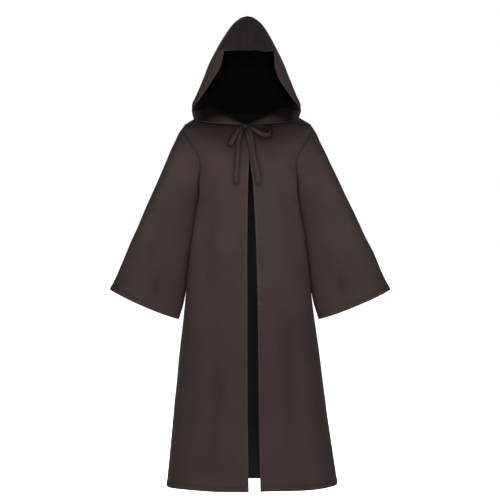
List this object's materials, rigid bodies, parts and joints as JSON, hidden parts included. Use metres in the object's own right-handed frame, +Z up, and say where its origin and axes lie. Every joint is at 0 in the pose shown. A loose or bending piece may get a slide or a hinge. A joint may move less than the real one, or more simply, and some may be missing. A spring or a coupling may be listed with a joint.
{
  "type": "hooded robe",
  "caption": "Full-length open-front robe with a deep pointed hood, wide bell sleeves and a cloth tie bowed at the neck, filled out as if worn.",
  "frame": {"origin": "between the wearer's shoulders at the height of the neck seam, half way from chest to back, where the robe is held up", "axes": "+Z up from hem to hood; the open front faces -Y; +X runs to the viewer's right, the wearer's left"},
  "size_m": [0.9188, 0.3591, 1.5506],
  "materials": {
    "robe_cloth": "smooth matt dark brown woven cloth",
    "tie_cloth": "smooth matt dark brown woven cloth, folded into a band"
  },
  "bodies": {
    "root": {"front_right": "robe_cloth", "front_left": "robe_cloth", "back": "robe_cloth", "sleeve_right": "robe_cloth", "sleeve_left": "robe_cloth", "hood_right": "robe_cloth", "hood_left": "robe_cloth", "tie_knot": "tie_cloth", "tie_loop_right": "tie_cloth", "tie_loop_left": "tie_cloth", "tie_tail_right": "tie_cloth", "tie_tail_left": "tie_cloth"}
  },
  "joints": []
}
